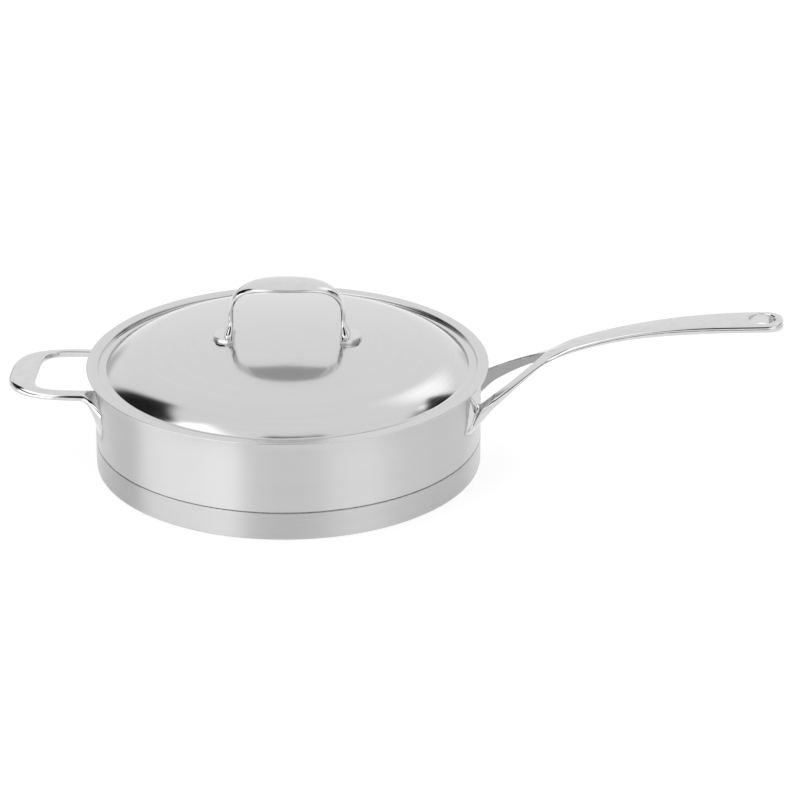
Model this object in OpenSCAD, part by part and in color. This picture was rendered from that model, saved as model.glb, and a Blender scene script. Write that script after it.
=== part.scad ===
// Saute pan with lid, in welded stainless steel.
// A drawn pan shell stands on a sandwich base: a copper core between two foils and two magnetic
// plies, closed in by a turned capsule. A forked long handle and a loop handle are cast and
// welded to the wall. The domed lid sits in the rim and lifts off by its own cast bail handle.
// Frame: the origin is the centre of the underside, +Z is up, +X runs along the long handle.

/* [Pan] */
// Inside diameter of the pan
inner_d = 280; // [240:1:320]
// Height of the rim above the table
rim_h = 75.9; // [68:0.1:110]
// Thickness of the wall
wall_t = 1.5; // [1.2:0.1:2]
// Thickness of the floor
floor_t = 1.5; // [1.2:0.1:2.5]
// Outside radius of the corner between floor and wall
corner_r = 17.5; // [14:0.5:20]
// Radius of the bend that turns the rim outward
lip_bend_r = 3; // [2.5:0.1:4]
// Width of the pouring lip beyond that bend
lip_w = 1.5; // [1.2:0.1:2.5]

/* [Sandwich base] */
// Thickness of the copper core
core_t = 2; // [1.5:0.1:4]
// Thickness of each foil that bonds the core
foil_t = 0.2; // [0.1:0.05:0.3]
// Thickness of each magnetic ply
ply_t = 0.3; // [0.2:0.05:0.5]
// Thickness of the capsule's sheet
capsule_t = 0.8; // [0.6:0.1:1]
// Radius of the capsule's lower edge
capsule_r = 2; // [1.5:0.1:3]
// Width of the welded seam between capsule and wall
seam_w = 1; // [0.6:0.1:1.4]
// Depth of that seam below the wall's face
seam_depth = 0.35; // [0.2:0.05:0.5]

/* [Lid] */
// Thickness of the lid's sheet
lid_t = 1; // [0.8:0.1:1.2]
// Overhang of the lid's flange beyond the lip
flange_over = 2.5; // [1:0.1:4]
// Clearance between the lid's step and the inside of the wall
lid_fit = 0.7; // [0.4:0.1:1]
// Depth of the channel between flange and dome
channel_depth = 2.3; // [2.2:0.1:3]
// Width of the channel's floor
channel_w = 4.4; // [3:0.1:6]
// Radius of the dome's crown
crown_r = 600; // [550:10:1200]
// Radius of the dome's shoulder
shoulder_r = 56; // [40:1:70]
// Steepest slope of the shoulder
shoulder_slope = 41; // [38:1:48]

/* [Lid handle] */
// Turn of the lid handle away from the line of the pan handles
lid_turn = 2.5; // [-90:0.5:90]
// Width of the bail over its legs
bail_w = 85; // [76:1:100]
// Height of the bail above the crown
bail_h = 43; // [38:0.5:55]
// Thickness of the bail's strap
bail_t = 3.4; // [2.6:0.1:4.5]
// Depth of the grip at its middle
grip_depth = 29; // [22:0.5:32]
// Droop of the grip's edges below its middle
grip_droop = 1.2; // [0.5:0.1:3]
// Depth of the legs at their narrowest
leg_depth = 8; // [6:0.5:10]
// Radius of the half-round foot pads
pad_r = 13; // [11:0.5:15]
// Thickness of the foot pads
pad_t = 2.2; // [1.8:0.1:3]

/* [Long handle] */
// Reach of the handle beyond the wall
handle_reach = 218; // [180:1:240]
// Height of the handle's tip above the rim
tip_rise = 43; // [30:0.5:60]
// Distance from the wall to the crotch of the fork
fork_len = 46.5; // [42:0.5:54]
// Height of the crotch above the rim
crotch_rise = 12.5; // [9:0.5:16]
// Half the gap between the legs at the wall
fork_gap = 31.5; // [27:0.5:36]
// Width of each leg where it meets the wall
fork_leg_w = 7.1; // [6:0.1:9]
// Height of each leg where it meets the wall
fork_leg_h = 14.5; // [12:0.1:16]
// Depth of the legs' upper edge below the rim, at the wall
root_drop = 18.5; // [17:0.5:21]
// Rise of each foot above its leg, up the wall
prong_rise = 19; // [12:0.5:20]
// How much each foot's underside drops toward the wall
foot_drop = 4.5; // [0:0.5:6]
// Outward spread of each foot
foot_widen = 13; // [8:0.5:14]
// Fall of each leg's outer edge into the tip of its foot
foot_fall = 9; // [4:0.5:10]
// Height of the section at the crotch
crotch_h = 6; // [5:0.1:7]
// Width of the handle at its waist
waist_w = 19.6; // [17:0.2:24]
// Width of the handle near its tip
tip_w = 30; // [27:0.5:34]
// Thickness of the handle near its tip
tip_t = 8.4; // [7:0.1:10]
// Diameter of the hanging hole
hang_d = 19; // [14:0.5:20]
// Distance of the hole's centre from the tip
hang_inset = 15.5; // [14.5:0.5:20]
// Bevel round the hanging hole
hang_bevel = 0.5; // [0.2:0.1:0.8]
// Radius of the edges of the upper face
edge_round = 1.1; // [0.6:0.1:1.4]

/* [Helper handle] */
// Reach of the loop beyond the wall
helper_reach = 63.5; // [52:0.5:75]
// Width of the loop over its arms
helper_w = 89; // [78:1:100]
// Depth of the grip bar at its middle
helper_bar = 21; // [16:0.5:24]
// Width of the arms
helper_arm_w = 9; // [7.5:0.1:10.5]
// Thickness of the loop
helper_t = 6.2; // [5:0.1:7]
// Depth of the loop's upper face below the rim
helper_drop = 9.4; // [8:0.2:16]
// Outward spread of each foot
helper_foot_widen = 11.5; // [6:0.5:12]
// Length of the toe of each foot down the wall
helper_toe = 28; // [16:1:30]
// Rise of each foot above its arm
helper_prong = 3; // [1:0.5:4]
// Fall of the arms' upper face toward its outer edge
helper_slope = 1.5; // [0:0.1:2]
// Fall of that edge where an arm fans into its foot
helper_fall = 16; // [8:1:18]

/* [Welds] */
// Thickness of the weld between a cast foot and the sheet it is welded to
weld_t = 0.4; // [0.3:0.05:0.6]
// How far the weld shows round the foot
weld_bead = 0.7; // [0.4:0.1:1]

/* [Hidden] */
$fn = 180;

// Pan: radii and heights
inner_r = inner_d / 2;
outer_r = inner_r + wall_t;
lip_r = inner_r + lip_bend_r + lip_w;
base_h = capsule_t + 2 * ply_t + 2 * foil_t + core_t;
floor_z = base_h + floor_t;
seam_z = base_h + corner_r;
land_r = outer_r - capsule_t;
core_r = outer_r - corner_r;
ply_gap = 0.5;
ply_r = outer_r - capsule_r - ply_gap;
edge_r = 0.3;

// Lid: heights and the centres of its arcs
flange_r = lip_r + flange_over;
flange_z = rim_h + lid_t;
step_r = inner_r - lid_fit - lid_t;
step_inner_bend = 0.3;
step_bend = lid_t + step_inner_bend;
channel_bend = 0.6;
channel_z = flange_z - channel_depth;
foot_bend = 1.5;
foot_r = step_r - channel_bend - channel_w - foot_bend * sin(shoulder_slope);
foot_z = channel_z + foot_bend * (1 - cos(shoulder_slope));
shoulder_x = foot_r - shoulder_r * sin(shoulder_slope);
shoulder_z = foot_z - shoulder_r * cos(shoulder_slope);
crown_slope = asin(shoulder_x / (crown_r - shoulder_r));
crown_z = shoulder_z - (crown_r - shoulder_r) * cos(crown_slope) + crown_r;

// Long handle: the places along X where its outline is set
leg_y = fork_gap + fork_leg_w / 2;
wall_x = sqrt(pow(outer_r, 2) - pow(leg_y, 2));
crotch_x = outer_r + fork_len;
crotch_z = rim_h + crotch_rise;
tip_x = outer_r + handle_reach;
tip_z = rim_h + tip_rise;
hang_x = tip_x - hang_inset;

// Points on an arc about c, from angle a0 to angle a1 in n steps
function arc(c, r, a0, a1, n) =
    [for (i = [0:n]) c + r * [cos(a0 + (a1 - a0) * i / n), sin(a0 + (a1 - a0) * i / n)]];

// Blend of two values or points, and an eased step from 0 to 1 between two places
function mix(a, b, t) = a + (b - a) * t;
function clamp01(t) = min(1, max(0, t));
function ease(x, x0, x1) = let (t = clamp01((x - x0) / (x1 - x0))) t * t * (3 - 2 * t);

// A cubic curve through two ends with the given slopes there
function hermite(x, x0, y0, m0, x1, y1, m1) =
    let (h = x1 - x0, t = (x - x0) / h)
    y0 * (1 + 2 * t) * pow(1 - t, 2) + h * m0 * t * pow(1 - t, 2)
    + y1 * t * t * (3 - 2 * t) + h * m1 * t * t * (t - 1);

// One closed skin over a list of rings with equal numbers of points
module loft(rings) {
    n = len(rings[0]);
    m = len(rings);
    points = [for (ring = rings) each ring];
    sides = [for (j = [0:m - 2], i = [0:n - 1])
             each [[j * n + i, j * n + (i + 1) % n, (j + 1) * n + i],
                   [j * n + (i + 1) % n, (j + 1) * n + (i + 1) % n, (j + 1) * n + i]]];
    first = [for (i = [n - 1:-1:0]) i];
    last = [for (i = [0:n - 1]) (m - 1) * n + i];
    polyhedron(points, concat(sides, [first, last]), convexity = 10);
}

// Pan shell: floor, corner, wall and the turned-out lip, in one drawn sheet
module pan_profile() {
    land_a = acos((corner_r - capsule_t) / corner_r);
    polygon(concat(
        [[0, base_h]],
        arc([outer_r - corner_r, seam_z], corner_r, -90, -land_a, 12),
        [[land_r, seam_z + seam_w / 2]],
        arc([outer_r - edge_r, seam_z + seam_w / 2 + edge_r], edge_r, -90, 0, 3),
        arc([inner_r + lip_bend_r, rim_h - lip_bend_r], lip_bend_r - wall_t, 180, 90, 6),
        arc([lip_r - wall_t / 2, rim_h - wall_t / 2], wall_t / 2, -90, 90, 8),
        arc([inner_r + lip_bend_r, rim_h - lip_bend_r], lip_bend_r, 90, 180, 8),
        arc([outer_r - corner_r, floor_z + corner_r - wall_t], corner_r - wall_t, 0, -90, 12),
        [[0, floor_z]]));
}

module pan_shell() {
    color("silver")
        rotate_extrude()
            pan_profile();
}

// Base capsule: a shallow turned cup whose skirt rises to the seam, flush with the wall
module base_capsule() {
    top = seam_z - seam_w / 2;
    color("lightsteelblue")
        rotate_extrude()
            polygon(concat(
                [[0, 0]],
                arc([outer_r - capsule_r, capsule_r], capsule_r, -90, 0, 8),
                arc([outer_r - edge_r, top - edge_r], edge_r, 0, 90, 3),
                [[land_r, top]],
                arc([outer_r - capsule_r, capsule_r], capsule_r - capsule_t, 0, -90, 6),
                [[0, capsule_t]]));
}

// Seam weld: the ring that closes the groove between capsule and wall
module capsule_seam_weld() {
    dip = seam_depth / 3;
    bead_r = outer_r - seam_depth;
    color("dimgray")
        rotate_extrude()
            polygon([[land_r, seam_z - seam_w / 2], [bead_r, seam_z - seam_w / 2],
                     [bead_r - dip, seam_z - seam_w / 5], [bead_r - dip, seam_z + seam_w / 5],
                     [bead_r, seam_z + seam_w / 2], [land_r, seam_z + seam_w / 2]]);
}

// A flat layer of the sandwich, lying on everything below it
module layer(z, r, t) {
    translate([0, 0, z])
        cylinder(r = r, h = t);
}

module induction_ply_middle() {
    color("slategray")
        layer(capsule_t, ply_r, ply_t);
}

module induction_ply_upper() {
    color("gray")
        layer(capsule_t + ply_t, ply_r, ply_t);
}

module core_foil_lower() {
    color("gainsboro")
        layer(capsule_t + 2 * ply_t, core_r, foil_t);
}

module core_disc() {
    color("peru")
        layer(capsule_t + 2 * ply_t + foil_t, core_r, core_t);
}

module core_foil_upper() {
    color("gainsboro")
        layer(base_h - foil_t, core_r, foil_t);
}

// One face of the lid's sheet, a depth d below its upper face: flange, step, channel,
// shoulder and crown, from the outside in
function lid_face(d) = concat(
    arc([step_r + step_bend, flange_z - step_bend], step_bend - d, 90, 180, 6),
    arc([step_r - channel_bend, channel_z + channel_bend], channel_bend + d, 0, -90, 6),
    arc([foot_r + foot_bend * sin(shoulder_slope), channel_z + foot_bend],
        foot_bend + d, -90, -90 - shoulder_slope, 5),
    arc([shoulder_x, shoulder_z], shoulder_r - d, 90 - shoulder_slope, 90 - crown_slope, 14),
    arc([0, crown_z - crown_r], crown_r - d, 90 - crown_slope * 5 / 6, 90, 5));

function reversed(list) = [for (i = [len(list) - 1:-1:0]) list[i]];

module lid_shell() {
    color("gainsboro")
        rotate_extrude()
            polygon(concat(
                reversed(lid_face(lid_t)),
                arc([flange_r - lid_t / 2, flange_z - lid_t / 2], lid_t / 2, -90, 90, 8),
                lid_face(0)));
}

// Height of the dome's upper face at a distance r from the axis, within the crown
function dome_z(r) = crown_z - crown_r + sqrt(pow(crown_r, 2) - r * r);

// Bail: a strap that follows a superellipse over the crown, drawn in to narrow legs and
// widened again to the foot pads. Heights are counted from the crown.
bail_n = 3.3;
leg_x = bail_w / 2 - bail_t / 2;
leg_z = bail_h * 0.27;
foot_low = 2;
foot_high = 15;
grip_low = bail_h * 0.45;
grip_high = bail_h * 0.78;
strap_sink = 3;
foot_depth = pad_r * 1.4;

// Where the strap's middle line is, for an angle round its arch: 0 and 180 are the legs
function bail_point(a) =
    [leg_x * sign(cos(a)) * pow(abs(cos(a)), 2 / bail_n),
     leg_z + (bail_h - leg_z - bail_t / 2) * pow(abs(sin(a)), 2 / bail_n)];

// Half the strap's depth at a point of that line
function bail_half_depth(p) =
    let (low = 1 - ease(p[1], foot_low, foot_high), u = clamp01(abs(p[0]) / leg_x))
    leg_depth / 2
    + (grip_depth - leg_depth) / 2 * (1 - u * u) * ease(p[1], grip_low, grip_high)
    + (foot_depth - leg_depth) / 2 * pow(low, 2);

// A rounded strap section: half depth b, half thickness h, along the directions u and v
function strap_ring(c, u, v, b, h, droop) =
    [for (k = [0:15])
     let (a = 360 * k / 16, s = sin(a), q = cos(a), across = sign(q) * pow(abs(q), 0.62))
     c + u * b * across + v * (h * sign(s) * pow(abs(s), 0.7) + droop * across * across)];

module bail_strap() {
    steps = 34;
    legs = [-strap_sink, for (i = [0:3]) leg_z * i / 4];
    left = [for (z = legs) [-leg_x, z]];
    arch = [for (i = [0:steps]) bail_point(180 - 180 * i / steps)];
    right = [for (z = reversed(legs)) [leg_x, z]];
    line = concat(left, arch, right);
    last = len(line) - 1;
    rings = [for (i = [0:last])
             let (p = line[i],
                  t = line[min(i + 1, last)] - line[max(i - 1, 0)],
                  d = t / norm(t),
                  spread = 1.1 * pow(1 - ease(p[1], 0, foot_high), 2),
                  swell = 0.15 * ease(p[1], grip_high, bail_h))
             strap_ring([p[0] + sign(p[0]) * bail_t / 2 * spread, 0, crown_z + p[1]],
                        [0, 1, 0], [d[1], 0, -d[0]],
                        bail_half_depth(p), bail_t / 2 * (1 + spread + swell),
                        grip_droop * ease(p[1], grip_low, grip_high))];
    loft(rings);
}

// Half-round pad under one leg, on the side away from the grip
module foot_pad(side, grow = 0) {
    round_r = pad_t * 0.45;
    r = pad_r + grow;
    seat = dome_z(leg_x + pad_r) - lid_t;
    top = dome_z(leg_x) + weld_t + pad_t;
    translate([side * leg_x, 0, 0])
        intersection() {
            rotate_extrude()
                polygon(concat([[0, seat], [r, seat]],
                               arc([r - round_r, top - round_r], round_r, 0, 90, 5),
                               [[0, top]]));
            translate([side > 0 ? -bail_t / 2 - grow : -r, -r, seat - 1])
                cube([r + bail_t / 2 + grow, 2 * r, top - seat + 2]);
        }
}

module lid_handle() {
    color("whitesmoke")
        rotate([0, 0, lid_turn])
            difference() {
                union() {
                    bail_strap();
                    foot_pad(-1);
                    foot_pad(1);
                }
                translate([0, 0, crown_z - crown_r])
                    sphere(r = crown_r + weld_t);
            }
}

// Weld under one foot pad, between the dome and the pad's own underside
module lid_handle_weld(side) {
    color("darkgray")
        rotate([0, 0, lid_turn])
            intersection() {
                foot_pad(side, weld_bead);
                difference() {
                    translate([0, 0, crown_z - crown_r])
                        sphere(r = crown_r + weld_t);
                    translate([0, 0, crown_z - crown_r])
                        sphere(r = crown_r);
                }
            }
}

module lid_handle_weld_left() {
    lid_handle_weld(-1);
}

module lid_handle_weld_right() {
    lid_handle_weld(1);
}

// Long handle. Its outline is given by curves over X: the height of the upper face, the inner
// and outer edges of one half, and the height of the section.
function handle_top(x) = x < crotch_x
    ? hermite(x, wall_x, rim_h - root_drop, 0.56, crotch_x, crotch_z, 0.58)
    : hermite(x, crotch_x, crotch_z, 0.46, tip_x, tip_z, 0.03);

// Half the gap between the legs, at a distance d back from the crotch
function fork_open(d) = let (u = max(0, d) / (crotch_x - wall_x)) fork_gap * u * (1.5 - 0.5 * u);

// The blade narrows to its waist, swells to the tip and ends in a blunt round
function blade_half(x) =
    let (u = (x - crotch_x) / (tip_x - crotch_x),
         end = clamp01(0.985 * (x - tip_x + tip_w / 2) / (tip_w / 2)))
    mix(waist_w, tip_w, ease(u, 0.25, 0.88)) / 2 * pow(1 - pow(end, 2.3), 1 / 2.3);

crotch_soft = 4;
crotch_blend = 10;

function handle_outer(x) =
    let (d = crotch_x - x,
         soft = d > fork_len ? d : crotch_soft * ln(1 + exp(d / crotch_soft)))
    fork_open(soft) + mix(fork_leg_w, blade_half(x), ease(x, wall_x, crotch_x + crotch_blend));

function handle_height(x) = x < crotch_x
    ? mix(crotch_h, fork_leg_h, pow(clamp01((crotch_x - x) / (crotch_x - wall_x)), 1.5))
    : mix(crotch_h, tip_t, ease(x, crotch_x, crotch_x + handle_reach / 2));

// How far from the wall a foot begins, and how deep the castings' ends run on behind the wall's
// face before they are cut to it
foot_reach = 16;
foot_sink = 6;

// How far a root has flared out into its foot, from 0 on the arm to 1 at the wall
function flare(d, reach) = pow(1 - clamp01(d / reach), 2.2);

// How much further back the wall is at y than at y0, fading out at a distance d from the wall
// and behind it
function wall_back(y, y0, d) =
    (sqrt(pow(outer_r, 2) - y * y) - sqrt(pow(outer_r, 2) - y0 * y0))
    * (1 - ease(d, 0, foot_reach)) * ease(d, -foot_sink, 0);

// Outer half of a section, from the middle of its upper face to the middle of its underside:
// a crowned face, a small edge radius, a flat side and a rounded belly
face_crown = 0.15;

function half_section(w, h, side, r) = concat(
    [[0, 0], [w * 0.55, -face_crown * 0.4]],
    [for (a = [90:-30:0]) [w - r + r * cos(a), -r - face_crown + r * sin(a)]],
    [for (a = [15:15:90]) [w * pow(cos(a), 0.8), -side - (h - side) * sin(a)]]);

// Sizes of the sections: sides of the blade, fall of the upper face toward its outer edge on
// the blade and on the legs, and where across a foot its prong stands
blade_side = 2.4;
blade_fall = 0.3;
leg_fall = 2.7;
prong_place = 0.55;

// Height of the prong across a foot, from 0 to 1
function prong(t) = t < prong_place
    ? mix(0.2, 1, ease(t, 0, prong_place))
    : 1 - ease(t, prong_place, 1);

// One ring of a half of the handle: half of the blade's section, with a flat inner side. On the
// blade that side lies on the middle plane, where the two halves are one; on the legs it is
// their upright inner face. At the wall a prong climbs out of the leg's upper face, and the
// outer edge runs down into the tip of the foot.
function handle_ring(x, grow = 0) =
    let (d = x - wall_x,
         inner = fork_open(crotch_x - x) - grow,
         w = handle_outer(x) + foot_widen * flare(d, foot_reach) + grow - inner,
         h = handle_height(x) + foot_drop * flare(d, foot_reach) + 2 * grow,
         side = min(blade_side, h * 0.35),
         fall = mix(blade_fall, leg_fall, ease(crotch_x - x, -2 * crotch_blend, 0))
                + foot_fall * (1 - ease(d, foot_reach * 0.1, foot_reach * 0.45)),
         rise = prong_rise * flare(d, foot_reach * 0.4),
         half = half_section(w, h, side, edge_round),
         flat = [for (k = [10:-1:1]) [0, -h * k / 11]])
    [for (q = concat(half, flat))
     let (t = q[0] / w, up = 1 + q[1] / h)
     [x + wall_back(inner + q[0], leg_y, d), inner + q[0],
      handle_top(x) + grow + q[1] + rise * prong(t) * up * up - fall * t * up]];

// Where the rings lie: close at the root, the crotch and the tip
root_steps = [wall_x - foot_sink,
              for (t = [0, 0.06, 0.12, 0.18, 0.25, 0.33, 0.42, 0.55, 0.7, 0.86])
              wall_x + t * foot_reach];
leg_steps = [for (i = [0:7]) mix(wall_x + foot_reach, crotch_x - crotch_soft, i / 7)];
crotch_steps = [for (t = [-0.2, 0, 0.2, 0.4, 0.7]) crotch_x + t * crotch_blend];
blade_steps = [for (i = [0:14]) mix(crotch_x + crotch_blend, tip_x - tip_w / 2, i / 14)];
tip_steps = [for (a = [15:12.5:90]) tip_x - tip_w / 2 * (1 - sin(a))];
handle_steps = concat(root_steps, leg_steps, crotch_steps, blade_steps, tip_steps);
crotch_ring = len(root_steps) + len(leg_steps) + 1;

// The whole skin: both halves share the points on the middle plane of the blade, and the legs
// are closed on their inner sides up to the crotch
module forked_skin() {
    n = 22;
    m = len(handle_steps);
    half = [for (x = handle_steps) each handle_ring(x)];
    points = concat(half, [for (p = half) [p[0], -p[1], p[2]]]);
    walls = [for (j = [0:m - 2], i = [0:n - 1]) if (i < 11 || j < crotch_ring)
             each [[j * n + i, j * n + (i + 1) % n, (j + 1) * n + i],
                   [j * n + (i + 1) % n, (j + 1) * n + (i + 1) % n, (j + 1) * n + i]]];
    root = [for (i = [0:10]) each [if (i > 0) [i + 1, i, n - i],
                                   if (i < 10) [i + 1, (n - i) % n, n - i - 1]]];
    near = concat(walls, root);
    far = [for (f = near) [for (v = reversed(f)) across_plane(v, n, m)]];
    tip = concat([for (i = [0:11]) (m - 1) * n + i], [for (i = [10:-1:1]) (2 * m - 1) * n + i]);
    polyhedron(points, concat(near, far, [tip]), convexity = 10);
}

// The point of the far half that answers to point v of the near half
function across_plane(v, n, m) =
    let (on_plane = floor(v / n) >= crotch_ring && (v % n == 0 || v % n >= 11))
    on_plane ? v : v + m * n;

module long_handle() {
    color("whitesmoke")
        difference() {
            forked_skin();
            cylinder(r = outer_r + weld_t, h = 2 * rim_h);
            translate([hang_x, 0, tip_z - 2 * tip_t])
                cylinder(d = hang_d, h = 4 * tip_t);
            translate([hang_x, 0, handle_top(hang_x) - hang_bevel])
                cylinder(d1 = hang_d, d2 = hang_d + 8 * hang_bevel, h = 4 * hang_bevel);
        }
}

// Weld between the wall and a cast foot on its +X side: as deep as the gap between them, and a
// little wider than the foot's outline, which is given as points across and up the wall
module wall_weld(outline) {
    color("darkgray")
        intersection() {
            rotate([90, 0, 90])
                linear_extrude(outer_r + lip_w)
                    polygon(outline);
            difference() {
                cylinder(r = outer_r + weld_t, h = rim_h);
                translate([0, 0, -1])
                    cylinder(r = outer_r, h = rim_h + 2);
            }
        }
}

module long_handle_weld(side) {
    wall_weld([for (p = handle_ring(wall_x, weld_bead)) [side * p[1], p[2]]]);
}

module long_handle_weld_front() {
    long_handle_weld(-1);
}

module long_handle_weld_rear() {
    long_handle_weld(1);
}

// Helper handle: a loop between two outlines in plan. Both are superellipses about a centre
// near the ends of the straight arms.
helper_top = rim_h - helper_drop;
helper_y = helper_w / 2 - helper_arm_w / 2;
helper_wall_x = sqrt(pow(outer_r, 2) - pow(helper_y, 2));
helper_root = 12;
helper_arm = 2;
helper_x = helper_wall_x + helper_root + helper_arm;
bar_swell = 0.8;

function super_point(a, rx, ry, n) =
    [rx * sign(cos(a)) * pow(abs(cos(a)), 2 / n), ry * sign(sin(a)) * pow(abs(sin(a)), 2 / n)];

// A ring of the loop between an outer and an inner point in plan: a crowned upper face whose
// outer edge lies lower by drop, and a rounded underside
function loop_ring(outer, inner, top, h, drop) =
    let (c = (outer + inner) / 2, b = norm(outer - inner) / 2, u = (outer - inner) / (2 * b))
    [for (k = [0:17])
     let (a = 360 * k / 18, q = cos(a), s = sin(a),
          across = sign(q) * pow(abs(q), s > 0 ? 0.55 : 0.75),
          below = 0.4 * h - (s > 0 ? 0.4 * h * pow(s, 0.5) : -0.6 * h * pow(-s, 0.9)),
          p = c + u * b * across)
     [-p[0], p[1], top - below - drop * (1 + across) / 2 * (1 - below / h)]];

// A ring where an arm flares into its foot on the wall
function helper_foot_ring(x, side, grow = 0) =
    let (d = x - helper_wall_x,
         e = flare(d, helper_root),
         outer = helper_w / 2 + helper_foot_widen * e + grow,
         inner = helper_w / 2 - helper_arm_w - 0.25 * helper_foot_widen * e - grow,
         h = helper_t + (helper_toe + helper_prong) * e + 2 * grow)
    loop_ring([x + wall_back(outer, helper_y, d), side * outer],
              [x + wall_back(inner, helper_y, d), side * inner],
              helper_top + helper_prong * e + grow, h, helper_slope + helper_fall * e);

helper_foot_steps = [helper_wall_x - foot_sink,
                     for (t = [0, 0.06, 0.13, 0.21, 0.31, 0.43, 0.58, 0.76, 1])
                     helper_wall_x + t * helper_root];

module helper_handle() {
    reach = outer_r + helper_reach - helper_x;
    bend = [for (a = [90:-5:-90])
            loop_ring([helper_x, 0] + super_point(a, reach, helper_w / 2, 2.7),
                      [helper_x, 0] + super_point(a, reach - helper_bar,
                                                  helper_w / 2 - helper_arm_w, 4.5),
                      helper_top, helper_t + bar_swell * ease(cos(a), 0.5, 1),
                      helper_slope * (1 - ease(cos(a), 0.3, 1)))];
    color("whitesmoke")
        difference() {
            loft(concat([for (x = helper_foot_steps) helper_foot_ring(x, 1)], bend,
                        [for (x = reversed(helper_foot_steps)) helper_foot_ring(x, -1)]));
            cylinder(r = outer_r + weld_t, h = 2 * rim_h);
        }
}

// Weld under one foot of the helper handle
module helper_weld(side) {
    mirror([1, 0, 0])
        wall_weld([for (p = helper_foot_ring(helper_wall_x, 1, weld_bead)) [side * p[1], p[2]]]);
}

module helper_weld_front() {
    helper_weld(-1);
}

module helper_weld_rear() {
    helper_weld(1);
}

pan_shell();
base_capsule();
capsule_seam_weld();
core_disc();
core_foil_upper();
core_foil_lower();
induction_ply_upper();
induction_ply_middle();
long_handle();
long_handle_weld_front();
long_handle_weld_rear();
helper_handle();
helper_weld_front();
helper_weld_rear();
lid_shell();
lid_handle();
lid_handle_weld_left();
lid_handle_weld_right();
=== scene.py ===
from math import acos, asin, cos, exp, log, pi, radians, sin, sqrt

import bpy
from mathutils import Matrix, Vector
from mathutils.bvhtree import BVHTree


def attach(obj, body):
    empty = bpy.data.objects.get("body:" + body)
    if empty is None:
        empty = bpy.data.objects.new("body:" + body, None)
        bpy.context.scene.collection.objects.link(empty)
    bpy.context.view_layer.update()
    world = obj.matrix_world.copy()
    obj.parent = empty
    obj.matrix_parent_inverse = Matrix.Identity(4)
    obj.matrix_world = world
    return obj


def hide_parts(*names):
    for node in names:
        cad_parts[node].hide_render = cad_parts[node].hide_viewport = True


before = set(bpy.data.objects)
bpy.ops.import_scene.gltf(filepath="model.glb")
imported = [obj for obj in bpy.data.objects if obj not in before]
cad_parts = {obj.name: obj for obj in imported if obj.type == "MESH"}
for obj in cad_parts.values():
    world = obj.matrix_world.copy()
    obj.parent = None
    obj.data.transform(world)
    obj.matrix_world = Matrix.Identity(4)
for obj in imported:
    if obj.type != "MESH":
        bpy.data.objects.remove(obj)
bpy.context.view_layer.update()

# Sizes in millimetres. Unless a comment says otherwise they are the same as the solids'.

# Pan and its sandwich base
inner_d = 280.0
rim_h = 75.9
wall_t = 1.5
floor_t = 1.5
corner_r = 17.5
lip_bend_r = 3.0
lip_w = 1.5
core_t = 2.0
foil_t = 0.2
ply_t = 0.3
capsule_t = 0.8
capsule_r = 2.0
seam_w = 1.0
seam_depth = 0.35
edge_r = 0.3

# Lid, with shoulder_slope in degrees
lid_t = 1.0
flange_over = 2.5
lid_fit = 0.7
channel_depth = 2.3
channel_w = 4.4
crown_r = 600.0
shoulder_r = 56.0
shoulder_slope = 41.0

# Lid handle, with lid_turn in degrees
lid_turn = 2.5
bail_w = 85.0
bail_h = 43.0
bail_t = 3.4
grip_depth = 29.0
grip_droop = 1.2
leg_depth = 8.0
pad_r = 13.0
pad_t = 2.2

# Long handle
handle_reach = 218.0
tip_rise = 43.0
fork_len = 46.5
crotch_rise = 12.5
fork_gap = 31.5
fork_leg_w = 7.1
fork_leg_h = 14.5
root_drop = 18.5
prong_rise = 19.0
foot_drop = 4.5
foot_widen = 13.0
foot_fall = 9.0
crotch_h = 6.0
waist_w = 19.6
tip_w = 30.0
tip_t = 8.4
hang_d = 19.0
hang_inset = 15.5
hang_bevel = 0.5

# Edge radius of the long handle, larger than the solid's so that the edge shows a dark line
edge_round = 2.4

# Helper handle
helper_reach = 63.5
helper_w = 89.0
helper_bar = 21.0
helper_arm_w = 9.0
helper_t = 6.2
helper_drop = 9.4
helper_foot_widen = 11.5
helper_toe = 28.0
helper_prong = 3.0
helper_slope = 1.5
helper_fall = 16.0

# Weld thickness
weld_t = 0.4

# Values worked out from them
inner_r = inner_d / 2
outer_r = inner_r + wall_t
lip_r = inner_r + lip_bend_r + lip_w
base_h = capsule_t + 2 * ply_t + 2 * foil_t + core_t
floor_z = base_h + floor_t
seam_z = base_h + corner_r
land_r = outer_r - capsule_t

flange_r = lip_r + flange_over
flange_z = rim_h + lid_t
step_r = inner_r - lid_fit - lid_t
step_bend = lid_t + 0.3
channel_bend = 0.6
channel_z = flange_z - channel_depth
foot_bend = 1.5
foot_r = step_r - channel_bend - channel_w - foot_bend * sin(radians(shoulder_slope))
foot_z = channel_z + foot_bend * (1 - cos(radians(shoulder_slope)))
shoulder_x = foot_r - shoulder_r * sin(radians(shoulder_slope))
shoulder_z = foot_z - shoulder_r * cos(radians(shoulder_slope))
crown_slope = asin(shoulder_x / (crown_r - shoulder_r)) * 180 / pi
crown_z = shoulder_z - (crown_r - shoulder_r) * cos(radians(crown_slope)) + crown_r


def mix(a, b, t):
    return a + (b - a) * t


def clamp01(t):
    return min(1.0, max(0.0, t))


def ease(x, x0, x1):
    t = clamp01((x - x0) / (x1 - x0))
    return t * t * (3 - 2 * t)


def hermite(x, x0, y0, m0, x1, y1, m1):
    h = x1 - x0
    t = (x - x0) / h
    return (y0 * (1 + 2 * t) * (1 - t) ** 2 + h * m0 * t * (1 - t) ** 2
            + y1 * t * t * (3 - 2 * t) + h * m1 * t * t * (t - 1))


def dome_z(r):
    return crown_z - crown_r + sqrt(crown_r ** 2 - r * r)


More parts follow.
